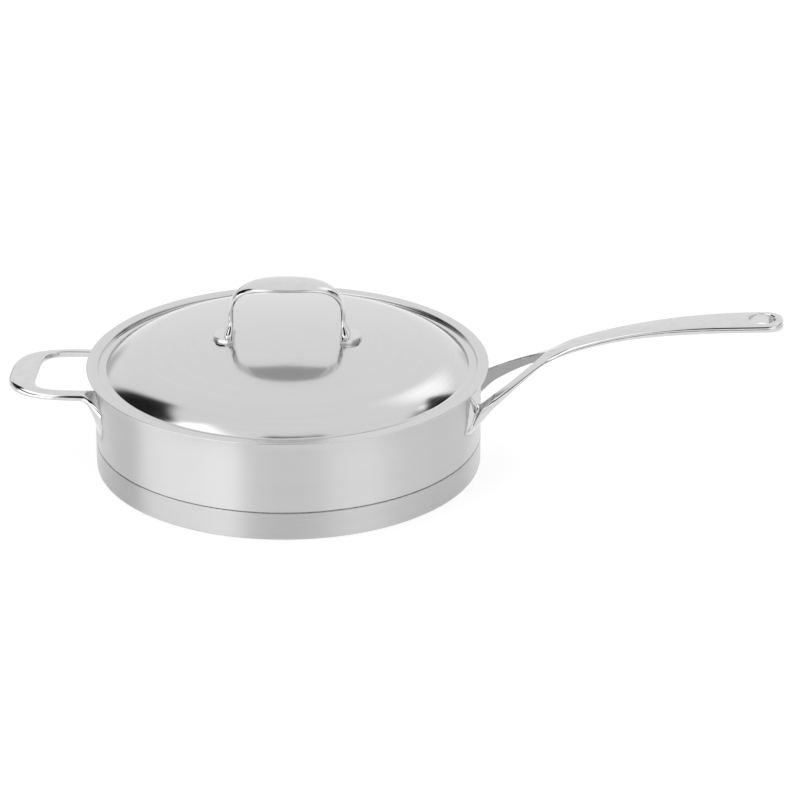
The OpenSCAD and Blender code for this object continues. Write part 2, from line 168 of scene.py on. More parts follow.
def spread(lo, hi, n):
    return [mix(lo, hi, i / n) for i in range(n + 1)]


# Mesh helpers

def new_object(name, verts, faces, body, replaces):
    mesh = bpy.data.meshes.new(name)
    mesh.from_pydata([tuple(c * 0.001 for c in v) for v in verts], [], faces)
    mesh.validate()
    mesh.update()
    obj = bpy.data.objects.new(name, mesh)
    bpy.context.scene.collection.objects.link(obj)
    mesh.polygons.foreach_set("use_smooth", [True] * len(mesh.polygons))
    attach(obj, body)
    if replaces:
        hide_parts(*replaces)
    return obj


def arc_curve(cx, cz, r, a0, a1, n):
    """Points on an arc with their normals. The profile runs anticlockwise, so a turn the same
    way bulges out of the sheet, and a turn the other way is hollow."""
    side = 1 if a1 > a0 else -1
    out = []
    for a in spread(radians(a0), radians(a1), n):
        out.append((cx + r * cos(a), cz + r * sin(a), side * cos(a), side * sin(a)))
    return out


def turned(name, curves, body, replaces, around=384):
    """A closed profile turned about Z. Every facet keeps the true normals of its curve."""
    pieces = []
    for k, curve in enumerate(curves):
        last = curves[k - 1][-1] if k else None
        if last and (abs(last[0] - curve[0][0]) > 1e-6 or abs(last[1] - curve[0][1]) > 1e-6):
            dr, dz = curve[0][0] - last[0], curve[0][1] - last[1]
            length = sqrt(dr * dr + dz * dz)
            n = (dz / length, -dr / length)
            steps = max(1, int(length / 12))
            line = [(mix(last[0], curve[0][0], i / steps), mix(last[1], curve[0][1], i / steps), *n)
                    for i in range(steps + 1)]
            pieces.append(line)
        if len(curve) > 1:
            pieces.append(curve)
    closed = curves[0][0][0] > 1e-6
    if closed:
        last, first = curves[-1][-1], curves[0][0]
        dr, dz = first[0] - last[0], first[1] - last[1]
        length = sqrt(dr * dr + dz * dz)
        if length > 1e-6:
            n = (dz / length, -dr / length)
            pieces.append([(last[0], last[1], *n), (first[0], first[1], *n)])
    points, segments = [(pieces[0][0][0], pieces[0][0][1])], []
    for piece in pieces:
        for p, q in zip(piece[:-1], piece[1:]):
            segments.append((len(points) - 1, len(points), p[2:], q[2:]))
            points.append((q[0], q[1]))
    if closed:
        points.pop()
        segments[-1] = (segments[-1][0], 0, *segments[-1][2:])
    turn = [(cos(2 * pi * i / around), sin(2 * pi * i / around)) for i in range(around)]
    verts, index = [], []
    for r, z in points:
        if r < 1e-6:
            index.append([len(verts)] * around)
            verts.append((0, 0, z))
        else:
            index.append(list(range(len(verts), len(verts) + around)))
            verts.extend((r * c, r * s, z) for c, s in turn)
    faces, normals = [], []
    for a, b, na, nb in segments:
        for i in range(around):
            j = (i + 1) % around
            ci, si, cj, sj = *turn[i], *turn[j]
            quad = [(index[a][i], na, ci, si), (index[a][j], na, cj, sj),
                    (index[b][j], nb, cj, sj), (index[b][i], nb, ci, si)]
            if index[a][i] == index[a][j]:
                quad = [quad[0], quad[2], quad[3]]
            elif index[b][i] == index[b][j]:
                quad = [quad[0], quad[1], quad[2]]
            faces.append([q[0] for q in quad])
            normals.extend((n[0] * c, n[0] * s, n[1]) for _, n, c, s in quad)
    obj = new_object(name, verts, faces, body, replaces)
    obj.data.normals_split_custom_set(normals)
    return obj


def outward(verts, faces):
    """The faces of a closed skin, turned to face out."""
    volume = 0
    for f in faces:
        a = Vector(verts[f[0]])
        for b, c in zip(f[1:-1], f[2:]):
            volume += a.dot(Vector(verts[b]).cross(Vector(verts[c])))
    return faces if volume > 0 else [f[::-1] for f in faces]


def ring_faces(rings, n, skip=lambda j, i: False):
    out = []
    for j in range(len(rings) - 1):
        for i in range(n):
            if not skip(j, i):
                out.append([j * n + i, j * n + (i + 1) % n, (j + 1) * n + (i + 1) % n,
                            (j + 1) * n + i])
    return out


def sharpen(obj, angle):
    obj.data.set_sharp_from_angle(angle=radians(angle))


# Turned sheet pieces

land_a = acos((corner_r - capsule_t) / corner_r) * 180 / pi
seam_top = seam_z + seam_w / 2
seam_low = seam_z - seam_w / 2
pan_curves = [
    [(0, base_h, 0, -1)],
    arc_curve(outer_r - corner_r, seam_z, corner_r, -90, -land_a, 24),
    [(land_r, seam_top, 1, 0)],
    arc_curve(outer_r - edge_r, seam_top + edge_r, edge_r, -90, 0, 6),
    arc_curve(inner_r + lip_bend_r, rim_h - lip_bend_r, lip_bend_r - wall_t, 180, 90, 12),
    arc_curve(lip_r - wall_t / 2, rim_h - wall_t / 2, wall_t / 2, -90, 90, 16),
    arc_curve(inner_r + lip_bend_r, rim_h - lip_bend_r, lip_bend_r, 90, 180, 16),
    arc_curve(outer_r - corner_r, floor_z + corner_r - wall_t, corner_r - wall_t, 0, -90, 24),
    [(0, floor_z, 0, 1)]]
pan_shell = turned("pan_shell_sheet", pan_curves, "pan", ["pan_shell"])

capsule_curves = [
    [(0, 0, 0, -1)],
    arc_curve(outer_r - capsule_r, capsule_r, capsule_r, -90, 0, 16),
    arc_curve(outer_r - edge_r, seam_low - edge_r, edge_r, 0, 90, 6),
    [(land_r, seam_low, 0, 1)],
    arc_curve(outer_r - capsule_r, capsule_r, capsule_r - capsule_t, 0, -90, 10),
    [(0, capsule_t, 0, 1)]]
capsule = turned("base_capsule_sheet", capsule_curves, "pan", ["base_capsule"])

bead = outer_r - seam_depth
dip = seam_depth / 3
seam_curves = [
    [(land_r, seam_low, 0, -1)], [(bead, seam_low, 0, -1)],
    [(bead - dip, seam_z - seam_w / 5, 1, 0)], [(bead - dip, seam_z + seam_w / 5, 1, 0)],
    [(bead, seam_top, 0, 1)], [(land_r, seam_top, 0, 1)]]
seam = turned("capsule_seam_bead", seam_curves, "pan", ["capsule_seam_weld"])


def lid_face(d, n):
    s = radians(shoulder_slope)
    return [
        arc_curve(step_r + step_bend, flange_z - step_bend, step_bend - d, 90, 180, 3 * n),
        arc_curve(step_r - channel_bend, channel_z + channel_bend, channel_bend + d, 0, -90, 3 * n),
        arc_curve(foot_r + foot_bend * sin(s), channel_z + foot_bend, foot_bend + d, -90,
                  -90 - shoulder_slope, 2 * n),
        arc_curve(shoulder_x, shoulder_z, shoulder_r - d, 90 - shoulder_slope, 90 - crown_slope,
                  8 * n),
        arc_curve(0, crown_z - crown_r, crown_r - d, 90 - crown_slope, 90, 6 * n)]


def turned_over(curves):
    return [[(r, z, -nr, -nz) for r, z, nr, nz in reversed(c)] for c in reversed(curves)]


lid_curves = (turned_over(lid_face(lid_t, 3))
              + [arc_curve(flange_r - lid_t / 2, flange_z - lid_t / 2, lid_t / 2, -90, 90, 12)]
              + lid_face(0, 5))
lid_curves[0][0] = (0, lid_curves[0][0][1], 0, -1)
lid_curves[-1][-1] = (0, lid_curves[-1][-1][1], 0, 1)
lid_shell = turned("lid_shell_sheet", lid_curves, "lid", ["lid_shell"])


# Long handle

leg_y = fork_gap + fork_leg_w / 2
wall_x = sqrt(outer_r ** 2 - leg_y ** 2)
crotch_x = outer_r + fork_len
crotch_z = rim_h + crotch_rise
tip_x = outer_r + handle_reach
tip_z = rim_h + tip_rise
hang_x = tip_x - hang_inset
crotch_soft = 4.0
crotch_blend = 10.0
blade_side = 2.4
blade_fall = 0.3
leg_fall = 2.7
prong_place = 0.55
face_crown = 0.15
foot_reach = 16.0
foot_sink = 6.0
inner_round = 1.2


def handle_top(x):
    if x < crotch_x:
        return hermite(x, wall_x, rim_h - root_drop, 0.56, crotch_x, crotch_z, 0.58)
    return hermite(x, crotch_x, crotch_z, 0.46, tip_x, tip_z, 0.03)


def fork_open(d):
    u = max(0.0, d) / (crotch_x - wall_x)
    return fork_gap * u * (1.5 - 0.5 * u)


def blade_half(x):
    u = (x - crotch_x) / (tip_x - crotch_x)
    end = clamp01(0.985 * (x - tip_x + tip_w / 2) / (tip_w / 2))
    return mix(waist_w, tip_w, ease(u, 0.25, 0.88)) / 2 * (1 - end ** 2.3) ** (1 / 2.3)


def handle_outer(x):
    d = crotch_x - x
    soft = d if d > fork_len else crotch_soft * log(1 + exp(d / crotch_soft))
    return fork_open(soft) + mix(fork_leg_w, blade_half(x), ease(x, wall_x, crotch_x + crotch_blend))


def handle_height(x):
    if x < crotch_x:
        return mix(crotch_h, fork_leg_h, clamp01((crotch_x - x) / (crotch_x - wall_x)) ** 1.5)
    return mix(crotch_h, tip_t, ease(x, crotch_x, crotch_x + handle_reach / 2))


def flare(d, reach):
    return (1 - clamp01(d / reach)) ** 2.2


def wall_back(y, y0, d):
    back = sqrt(outer_r ** 2 - y * y) - sqrt(outer_r ** 2 - y0 * y0)
    return back * (1 - ease(d, 0, foot_reach)) * ease(d, -foot_sink, 0)


# Steps of half a section: its upper face, edge radius, flat side and belly
ROUND = 9
BELLY = 16
FACE = 12
FLANK = 2
HALF = FACE + ROUND + FLANK + BELLY


def half_section(w, h, side, r):
    """From the middle of the upper face to the middle of the underside, in HALF steps."""
    top = w - r
    out = [(top * (k / FACE) ** 1.5, -face_crown * (k / FACE) ** 3) for k in range(FACE)]
    for k in range(ROUND):
        a = pi / 2 * (1 - k / ROUND)
        out.append((top + r * cos(a), -r - face_crown + r * sin(a)))
    low = -r - face_crown
    out += [(w, mix(low, -side, k / FLANK)) for k in range(FLANK)]
    for k in range(BELLY + 1):
        a = pi / 2 * k / BELLY
        out.append((w * max(0.0, cos(a)) ** 0.8 if k < BELLY else 0.0, -side - (h - side) * sin(a)))
    return out


def prong(t):
    """Height of the prong across a foot, from 0 to 1."""
    if t < prong_place:
        return mix(0.2, 1, ease(t, 0, prong_place))
    return 1 - ease(t, prong_place, 1)


def rounding(q, r):
    """Depth of a rounded corner at a distance q from the corner's side."""
    return r - sqrt(max(0.0, r * r - max(0.0, r - q) ** 2))


def handle_ring(x):
    leg = ease(crotch_x - x, 0, crotch_blend)
    d = x - wall_x
    inner = fork_open(crotch_x - x)
    w = handle_outer(x) + foot_widen * flare(d, foot_reach) - inner
    h = handle_height(x) + foot_drop * flare(d, foot_reach)
    side = max(min(blade_side, h * 0.35), edge_round + face_crown)
    fall = (mix(blade_fall, leg_fall, ease(crotch_x - x, -2 * crotch_blend, 0))
            + foot_fall * (1 - ease(d, foot_reach * 0.1, foot_reach * 0.45)))
    rise = prong_rise * flare(d, foot_reach * 0.4)
    tip_soft = rounding(tip_x - x, edge_round)
    section = half_section(w, h, side, edge_round)
    section += [(0, -h * k / HALF) for k in range(HALF - 1, 0, -1)]
    ring = []
    for k, (q, v) in enumerate(section):
        t, up = q / w, 1 + v / h
        y = inner + q
        z = handle_top(x) + v + rise * prong(t) * up * up - fall * t * up
        z -= tip_soft * (1 + 2 * v / h)
        if k < FACE:
            z -= leg * rounding(q, inner_round)
        elif k > HALF:
            z = min(z, handle_top(x) + rise * prong(0) - leg * inner_round)
        ring.append((x + wall_back(y, leg_y, d), y, z))
    return ring


root_xs = [wall_x + 0.1 + foot_reach * (i / 40) ** 1.7 for i in range(41)]
leg_xs = spread(wall_x + foot_reach + 0.1, crotch_x, 40)[1:]
blade_xs = (spread(crotch_x, crotch_x + 2 * crotch_blend, 24)[1:]
            + spread(crotch_x + 2 * crotch_blend, hang_x - hang_d, 60)[1:]
            + spread(hang_x - hang_d, tip_x - tip_w / 2, 26)[1:])
tip_xs = [tip_x - tip_w / 2 * (1 - sin(a)) for a in spread(0, pi / 2, 48)[1:-1]]
tip_xs = [x for x in tip_xs if tip_x - x > 0.02] + [tip_x]
handle_xs = root_xs + leg_xs + blade_xs + tip_xs
crotch_ring = len(root_xs) + len(leg_xs) - 1
RING = 2 * HALF
near_rings = [handle_ring(x) for x in handle_xs]
rows = len(near_rings)
handle_verts = [p for ring in near_rings for p in ring]
handle_verts += [(x, -y, z) for x, y, z in handle_verts]


def across_plane(v):
    j, i = divmod(v, RING)
    return v if j >= crotch_ring and (i == 0 or i >= HALF) else v + rows * RING


near_faces = ring_faces(near_rings, RING, lambda j, i: j >= crotch_ring and i >= HALF)
near_faces.append(list(range(RING - 1, -1, -1)))
handle_faces = near_faces + [[across_plane(v) for v in reversed(f)] for f in near_faces]
last = (rows - 1) * RING
handle_faces.append([last + i for i in range(HALF + 1)]
                    + [last + rows * RING + i for i in range(HALF - 1, 0, -1)])
used = sorted({v for f in handle_faces for v in f})
remap = {v: k for k, v in enumerate(used)}
handle_verts = [handle_verts[v] for v in used]
handle_faces = outward(handle_verts, [[remap[v] for v in f] for f in handle_faces])
long_handle = new_object("long_handle_casting", handle_verts, handle_faces, "pan",
                         ["long_handle"])
sharpen(long_handle, 50)


hole_facets = 192
bevel_flare = 6 * hang_bevel
bevel_rise = 5 * hang_bevel


def hole_cutter():
    """A turned body as wide as the hole, which flares out over the upper face as its bevel."""
    z = handle_top(hang_x)
    r = hang_d / 2
    low, high = z - 3 * tip_t, z + bevel_rise
    rings = [(r, low), (r, z - hang_bevel), (r + bevel_flare, high)]
    verts = [(hang_x, 0, low)]
    for ring_r, ring_z in rings:
        for i in range(hole_facets):
            a = 2 * pi * i / hole_facets
            verts.append((hang_x + ring_r * cos(a), ring_r * sin(a), ring_z))
    top = len(verts)
    verts.append((hang_x, 0, high))
    faces = []
    for i in range(hole_facets):
        j = (i + 1) % hole_facets
        faces.append([0, 1 + j, 1 + i])
        for row in range(2):
            a, b = 1 + row * hole_facets, 1 + (row + 1) * hole_facets
            faces.append([a + i, a + j, b + j, b + i])
        faces.append([1 + 2 * hole_facets + i, 1 + 2 * hole_facets + j, top])
    mesh = bpy.data.meshes.new("hole_cutter")
    mesh.from_pydata([tuple(c * 0.001 for c in v) for v in verts], [], faces)
    cutter = bpy.data.objects.new("hole_cutter", mesh)
    bpy.context.scene.collection.objects.link(cutter)
    return cutter


def hole_wall_normal(poly, co, axis):
    out = Vector((co.x - axis.x, co.y, 0)).normalized()
    lift = poly.normal.z
    return -out * sqrt(max(0, 1 - lift * lift)) + Vector((0, 0, lift))


def cut_hole(obj):
    """The hanging hole with its bevel. The upper and lower faces keep the smooth normals that
    they had before the cut."""
    mesh = obj.data
    before = BVHTree.FromPolygons([v.co.copy() for v in mesh.vertices],
                                  [p.vertices[:] for p in mesh.polygons])
    old_polys = [p.vertices[:] for p in mesh.polygons]
    old_normals = [v.normal.copy() for v in mesh.vertices]
    old_co = [v.co.copy() for v in mesh.vertices]
    cutter = hole_cutter()
    modifier = obj.modifiers.new("hole", "BOOLEAN")
    modifier.operation = "DIFFERENCE"
    modifier.solver = "EXACT"
    modifier.object = cutter
    graph = bpy.context.evaluated_depsgraph_get()
    cut = bpy.data.meshes.new_from_object(obj.evaluated_get(graph))
    obj.modifiers.clear()
    obj.data = cut
    bpy.data.objects.remove(cutter)
    cut.polygons.foreach_set("use_smooth", [True] * len(cut.polygons))
    axis = Vector((hang_x * 0.001, 0, 0))
    near_hole = (hang_d / 2 + 3 * hang_bevel) * 0.001
    normals = []
    for poly in cut.polygons:
        flat = Vector((poly.center.x - axis.x, poly.center.y, 0))
        wall = flat.length < near_hole and poly.normal.dot(flat) < -0.3 * flat.length
        for li in poly.loop_indices:
            co = cut.vertices[cut.loops[li].vertex_index].co
            if wall:
                normals.append(hole_wall_normal(poly, co, axis)[:])
                continue
            spot, _, index, _ = before.find_nearest(co)
            ids = old_polys[index]
            if len(ids) > 4:
                normals.append(poly.normal[:])
                continue
            weights = [1 / max(1e-9, (old_co[i] - spot).length) ** 2 for i in ids]
            n_sum = sum((old_normals[i] * w for i, w in zip(ids, weights)), Vector())
            normals.append(n_sum.normalized()[:])
    cut.normals_split_custom_set(normals)


cut_hole(long_handle)


# Helper handle

helper_top = rim_h - helper_drop
helper_y = helper_w / 2 - helper_arm_w / 2
helper_wall_x = sqrt(outer_r ** 2 - helper_y ** 2)
helper_root = 12.0
helper_arm = 2.0
helper_x = helper_wall_x + helper_root + helper_arm
bar_swell = 0.8
nose_round = 4.5
AROUND = 72


def super_point(a, rx, ry, n):
    c, s = cos(a), sin(a)
    return (rx * (1 if c >= 0 else -1) * abs(c) ** (2 / n),
            ry * (1 if s >= 0 else -1) * abs(s) ** (2 / n))


def loop_section(a, h, half_w):
    """A point of the loop's section at angle a: how far across it, from -1 inside to 1 outside,
    and how far below its upper face. The outer edge is rounded over, the inner one is squarer."""
    q, s = cos(a), sin(a)
    if abs(q) < 1e-9:
        q = 0.0
    outside = q > 0
    depth = max(0.4 * h, min(0.7 * h, nose_round)) if outside else 0.4 * h
    if s < 0 or (s == 0 and not outside):
        across = (1 if q >= 0 else -1) * abs(q) ** 0.75
        return across, depth + (h - depth) * (-s) ** 0.9
    if not outside:
        return -abs(q) ** 0.6, depth * (1 - s ** 0.5)
    round_over = min(nose_round, 0.8 * half_w) / half_w
    corner = min(2 * a, pi / 2)
    if a <= pi / 4:
        return 1 - round_over * (1 - cos(corner)), depth * (1 - sin(corner))
    return (1 - round_over) * (2 - 4 * a / pi), depth * (1 - sin(corner))


def loop_ring(outer, inner, top, h, drop):
    cx, cy = (outer[0] + inner[0]) / 2, (outer[1] + inner[1]) / 2
    ux, uy = (outer[0] - inner[0]) / 2, (outer[1] - inner[1]) / 2
    half_w = sqrt(ux * ux + uy * uy)
    ring = []
    for k in range(AROUND):
        across, below = loop_section(2 * pi * k / AROUND, h, half_w)
        ring.append((-(cx + ux * across), cy + uy * across,
                     top - below - drop * (1 + across) / 2 * (1 - below / h)))
    return ring


def helper_foot_ring(x, side):
    d = x - helper_wall_x
    e = flare(d, helper_root)
    outer = helper_w / 2 + helper_foot_widen * e
    inner = helper_w / 2 - helper_arm_w - 0.25 * helper_foot_widen * e
    h = helper_t + (helper_toe + helper_prong) * e
    return loop_ring((x + wall_back(outer, helper_y, d), side * outer),
                     (x + wall_back(inner, helper_y, d), side * inner),
                     helper_top + helper_prong * e, h, helper_slope + helper_fall * e)


foot_xs = [helper_wall_x + 0.1 + (helper_root - 0.1) * (i / 28) ** 1.6 for i in range(29)]
reach = outer_r + helper_reach - helper_x
bend_rings = []
for a in spread(pi / 2, -pi / 2, 150):
    outer = super_point(a, reach, helper_w / 2, 2.7)
    inner = super_point(a, reach - helper_bar, helper_w / 2 - helper_arm_w, 4.5)
    bend_rings.append(loop_ring((helper_x + outer[0], outer[1]), (helper_x + inner[0], inner[1]),
                                helper_top,
                                helper_t + bar_swell * ease(cos(a), 0.5, 1),
                                helper_slope * (1 - ease(cos(a), 0.3, 1))))
helper_rings = ([helper_foot_ring(x, 1) for x in foot_xs] + bend_rings
                + [helper_foot_ring(x, -1) for x in reversed(foot_xs)])
helper_faces = ring_faces(helper_rings, AROUND)
helper_faces.append(list(range(AROUND - 1, -1, -1)))
helper_faces.append([(len(helper_rings) - 1) * AROUND + i for i in range(AROUND)])
helper_verts = [p for r in helper_rings for p in r]
helper_handle = new_object("helper_handle_casting", helper_verts,
                           outward(helper_verts, helper_faces), "pan",
                           ["helper_handle"])
sharpen(helper_handle, 55)


# Lid handle

bail_n = 3.3
leg_x = bail_w / 2 - bail_t / 2
leg_z = bail_h * 0.27
foot_low = 2.0
foot_high = 15.0
foot_depth = pad_r * 1.4
grip_low = bail_h * 0.45
grip_high = bail_h * 0.78


def bail_point(a):
    c, s = cos(a), sin(a)
    return (leg_x * (1 if c >= 0 else -1) * abs(c) ** (2 / bail_n),
            leg_z + (bail_h - leg_z - bail_t / 2) * abs(s) ** (2 / bail_n))


def bail_half_depth(p):
    low = 1 - ease(p[1], foot_low, foot_high)
    u = clamp01(abs(p[0]) / leg_x)
    return (leg_depth / 2
            + (grip_depth - leg_depth) / 2 * (1 - u * u) * ease(p[1], grip_low, grip_high)
            + (foot_depth - leg_depth) / 2 * low * low)


def strap_rings():
    legs = [-1.4] + spread(0, leg_z, 30)[:-1]
    line = ([(-leg_x, z) for z in legs] + [bail_point(a) for a in spread(pi, 0, 240)]
            + [(leg_x, z) for z in reversed(legs)])
    rings = []
    for k, p in enumerate(line):
        p0, p1 = line[max(k - 1, 0)], line[min(k + 1, len(line) - 1)]
        tx, tz = p1[0] - p0[0], p1[1] - p0[1]
        t = sqrt(tx * tx + tz * tz)
        tx, tz = tx / t, tz / t
        wide = 1.1 * (1 - ease(p[1], 0, foot_high)) ** 2
        swell = 0.15 * ease(p[1], grip_high, bail_h)
        b, h = bail_half_depth(p), bail_t / 2 * (1 + wide + swell)
        droop = grip_droop * ease(p[1], grip_low, grip_high)
        cx = p[0] + (1 if p[0] > 0 else -1) * bail_t / 2 * wide
        ring = []
        for i in range(AROUND):
            a = 2 * pi * i / AROUND
            s, q = sin(a), cos(a)
            across = (1 if q >= 0 else -1) * abs(q) ** 0.62
            up = h * (1 if s >= 0 else -1) * abs(s) ** 0.7 + droop * across * across
            ring.append((cx + tz * up, b * across, crown_z + p[1] - tx * up))
        rings.append(ring)
    return rings


def turned_lid(p):
    a = radians(lid_turn)
    return (p[0] * cos(a) - p[1] * sin(a), p[0] * sin(a) + p[1] * cos(a), p[2])


strap = strap_rings()
bail_verts = [turned_lid(p) for r in strap for p in r]
bail_faces = ring_faces(strap, AROUND)
bail_faces.append(list(range(AROUND - 1, -1, -1)))
bail_faces.append([(len(strap) - 1) * AROUND + i for i in range(AROUND)])
bail_faces = outward(bail_verts, bail_faces)


def pad_mesh(side):
    """Half-round pad: its rounded rim swept round, and drawn on a little under the leg."""
    top = dome_z(leg_x) + weld_t + pad_t
    rim_round = pad_t * 0.45
    angles = spread(-pi / 2, pi / 2, 72)
    section = [(0.0, 0.0)] + [(u, 0.0) for u in (pad_r * 0.5, pad_r - rim_round)]
    section += [(pad_r - rim_round * (1 - sin(a)), -rim_round * (1 - cos(a)))
                for a in spread(0, pi / 2, 10)[1:]]
    section += [(pad_r, None), (0.0, None)]
    rings = []
    stations = [(-bail_t / 2, -pi / 2)] + [(0, a) for a in angles] + [(-bail_t / 2, pi / 2)]
    for shift, angle in stations:
        ring = []
        for u, drop in section:
            x, y = shift + u * cos(angle), u * sin(angle)
            gx = leg_x + x
            low = dome_z(sqrt(gx * gx + y * y)) + 0.1
            ring.append((side * gx, y, low if drop is None else top + drop))
        rings.append(ring if side > 0 else list(reversed(ring)))
    return rings


for side in (-1, 1):
    rings = pad_mesh(side)
    n = len(rings[0])
    start = len(bail_verts)
    pad_verts = [turned_lid(p) for r in rings for p in r]
    pad_faces = ring_faces(rings, n)
    pad_faces.append(list(range(n - 1, -1, -1)))
    pad_faces.append([(len(rings) - 1) * n + v for v in range(n)])
    bail_verts += pad_verts
    bail_faces += [[start + v for v in f] for f in outward(pad_verts, pad_faces)]
lid_handle = new_object("lid_handle_casting", bail_verts, bail_faces, "lid",
                        ["lid_handle"])
sharpen(lid_handle, 45)


# Materials

def node_material(name):
    material = bpy.data.materials.new(name)
    material.use_nodes = True
    tree = material.node_tree
    shader = next(n for n in tree.nodes if n.type == "BSDF_PRINCIPLED")
    return material, tree, shader


def math_node(tree, op, a, b=None, c=None):
    n = tree.nodes.new("ShaderNodeMath")
    n.operation = op
    for k, v in enumerate((a, b, c)):
        if v is None:
            continue
        if isinstance(v, (int, float)):
            n.inputs[k].default_value = v
        else:
            tree.links.new(v, n.inputs[k])
    return n.outputs[0]


def map_range(tree, value, lo, hi, out_lo, out_hi, smooth=False):
    n = tree.nodes.new("ShaderNodeMapRange")
    if smooth:
        n.interpolation_type = "SMOOTHSTEP"
    tree.links.new(value, n.inputs["Value"])
    for key, v in (("From Min", lo), ("From Max", hi), ("To Min", out_lo), ("To Max", out_hi)):
        n.inputs[key].default_value = v
    return n.outputs["Result"]


def lathe_coords(tree):
    """Radius, angle and height about the pan's axis."""
    coord = tree.nodes.new("ShaderNodeTexCoord")
    xyz = tree.nodes.new("ShaderNodeSeparateXYZ")
    tree.links.new(coord.outputs["Object"], xyz.inputs[0])
    x, y, z = xyz.outputs
    r = math_node(tree, "SQRT", math_node(tree, "ADD", math_node(tree, "MULTIPLY", x, x),
                                          math_node(tree, "MULTIPLY", y, y)))
    return r, math_node(tree, "ARCTAN2", y, x), z


def turned_noise(tree, across, angle, cross_scale, along_scale, detail, seed):
    """Noise drawn out along the turning direction."""
    mixed = tree.nodes.new("ShaderNodeCombineXYZ")
    tree.links.new(math_node(tree, "MULTIPLY", across, cross_scale), mixed.inputs[0])
    tree.links.new(math_node(tree, "MULTIPLY", math_node(tree, "SINE", angle), along_scale),
                   mixed.inputs[1])
    tree.links.new(math_node(tree, "ADD", seed, math_node(
        tree, "MULTIPLY", math_node(tree, "COSINE", angle), along_scale)), mixed.inputs[2])
    noise = tree.nodes.new("ShaderNodeTexNoise")
    noise.inputs["Scale"].default_value = 1.0
    noise.inputs["Detail"].default_value = detail
    noise.inputs["Roughness"].default_value = 0.6
    tree.links.new(mixed.outputs[0], noise.inputs["Vector"])
    return noise.outputs[0]


def plain_noise(tree, vector, scale, detail=3):
    noise = tree.nodes.new("ShaderNodeTexNoise")
    noise.inputs["Scale"].default_value = scale
    noise.inputs["Detail"].default_value = detail
    tree.links.new(vector, noise.inputs["Vector"])
    return noise.outputs[0]


def tint(tree, shader, value, lo, hi):
    """Base colour between two greys."""
    ramp = tree.nodes.new("ShaderNodeMix")
    ramp.data_type = "RGBA"
    ramp.inputs[6].default_value = (*lo, 1)
    ramp.inputs[7].default_value = (*hi, 1)
    tree.links.new(value, ramp.inputs[0])
    tree.links.new(ramp.outputs[2], shader.inputs["Base Color"])


def bump(tree, shader, height, strength, distance):
    n = tree.nodes.new("ShaderNodeBump")
    n.inputs["Strength"].default_value = strength
    n.inputs["Distance"].default_value = distance
    tree.links.new(height, n.inputs["Height"])
    tree.links.new(n.outputs[0], shader.inputs["Normal"])


def satin_sheet(name, rough_lo, rough_hi, lo, hi, aniso):
    """Drawn sheet with a fine turned finish: lines round the pan that spread light up and down."""
    material, tree, shader = node_material(name)
    r, angle, z = lathe_coords(tree)
    height = math_node(tree, "ADD", z, r)
    lines = turned_noise(tree, height, angle, 5200, 1.6, 4, 3.0)
    bands = turned_noise(tree, height, angle, 420, 0.7, 2, 11.0)
    both = math_node(tree, "ADD", math_node(tree, "MULTIPLY", lines, 0.85),
                     math_node(tree, "MULTIPLY", bands, 0.15))
    shader.inputs["Metallic"].default_value = 1.0
    tint(tree, shader, map_range(tree, both, 0.3, 0.7, 0, 1), lo, hi)
    tree.links.new(map_range(tree, both, 0.3, 0.7, rough_hi, rough_lo), shader.inputs["Roughness"])
    shader.inputs["Anisotropic"].default_value = aniso
    shader.inputs["Anisotropic Rotation"].default_value = 0.25
    tangent = tree.nodes.new("ShaderNodeTangent")
    tangent.direction_type = "RADIAL"
    tangent.axis = "Z"
    tree.links.new(tangent.outputs[0], shader.inputs["Tangent"])
    bump(tree, shader, lines, 0.05, 0.00004)
    return material


def mirror_sheet(name, lo, hi, rough_lo, rough_hi):
    """Bright polished lid: nearly a mirror, with faint turned polishing marks."""
    material, tree, shader = node_material(name)
    r, angle, _ = lathe_coords(tree)
    marks = turned_noise(tree, r, angle, 2600, 1.2, 3, 5.0)
    haze = turned_noise(tree, r, angle, 90, 0.6, 2, 17.0)
    both = math_node(tree, "ADD", math_node(tree, "MULTIPLY", marks, 0.8),
                     math_node(tree, "MULTIPLY", haze, 0.2))
    shader.inputs["Metallic"].default_value = 1.0
    tint(tree, shader, map_range(tree, both, 0.3, 0.7, 0, 1), lo, hi)
    tree.links.new(map_range(tree, both, 0.3, 0.7, rough_hi, rough_lo), shader.inputs["Roughness"])
    bump(tree, shader, marks, 0.05, 0.00002)
    return material


def polished_casting(name, lo, hi, rough_lo, rough_hi):
    """Mirror polished casting: a slight waviness under the polish and a soft haze."""
    material, tree, shader = node_material(name)
    coord = tree.nodes.new("ShaderNodeTexCoord")
    haze = plain_noise(tree, coord.outputs["Object"], 160, 4)
    wave = plain_noise(tree, coord.outputs["Object"], 60, 2)
    shader.inputs["Metallic"].default_value = 1.0
    tint(tree, shader, map_range(tree, haze, 0.3, 0.7, 0, 1), lo, hi)
    tree.links.new(map_range(tree, haze, 0.3, 0.7, rough_lo, rough_hi), shader.inputs["Roughness"])
    bump(tree, shader, wave, 0.15, 0.00012)
    return material


def plain_metal(name, lo, hi, rough, scale):
    material, tree, shader = node_material(name)
    coord = tree.nodes.new("ShaderNodeTexCoord")
    grain = plain_noise(tree, coord.outputs["Object"], scale, 4)
    shader.inputs["Metallic"].default_value = 1.0
    tint(tree, shader, map_range(tree, grain, 0.3, 0.7, 0, 1), lo, hi)
    tree.links.new(map_range(tree, grain, 0.3, 0.7, rough * 0.8, rough * 1.2),
                   shader.inputs["Roughness"])
    bump(tree, shader, grain, 0.2, 0.00008)
    return material


def grey(v):
    return (v, v, v * 1.004)


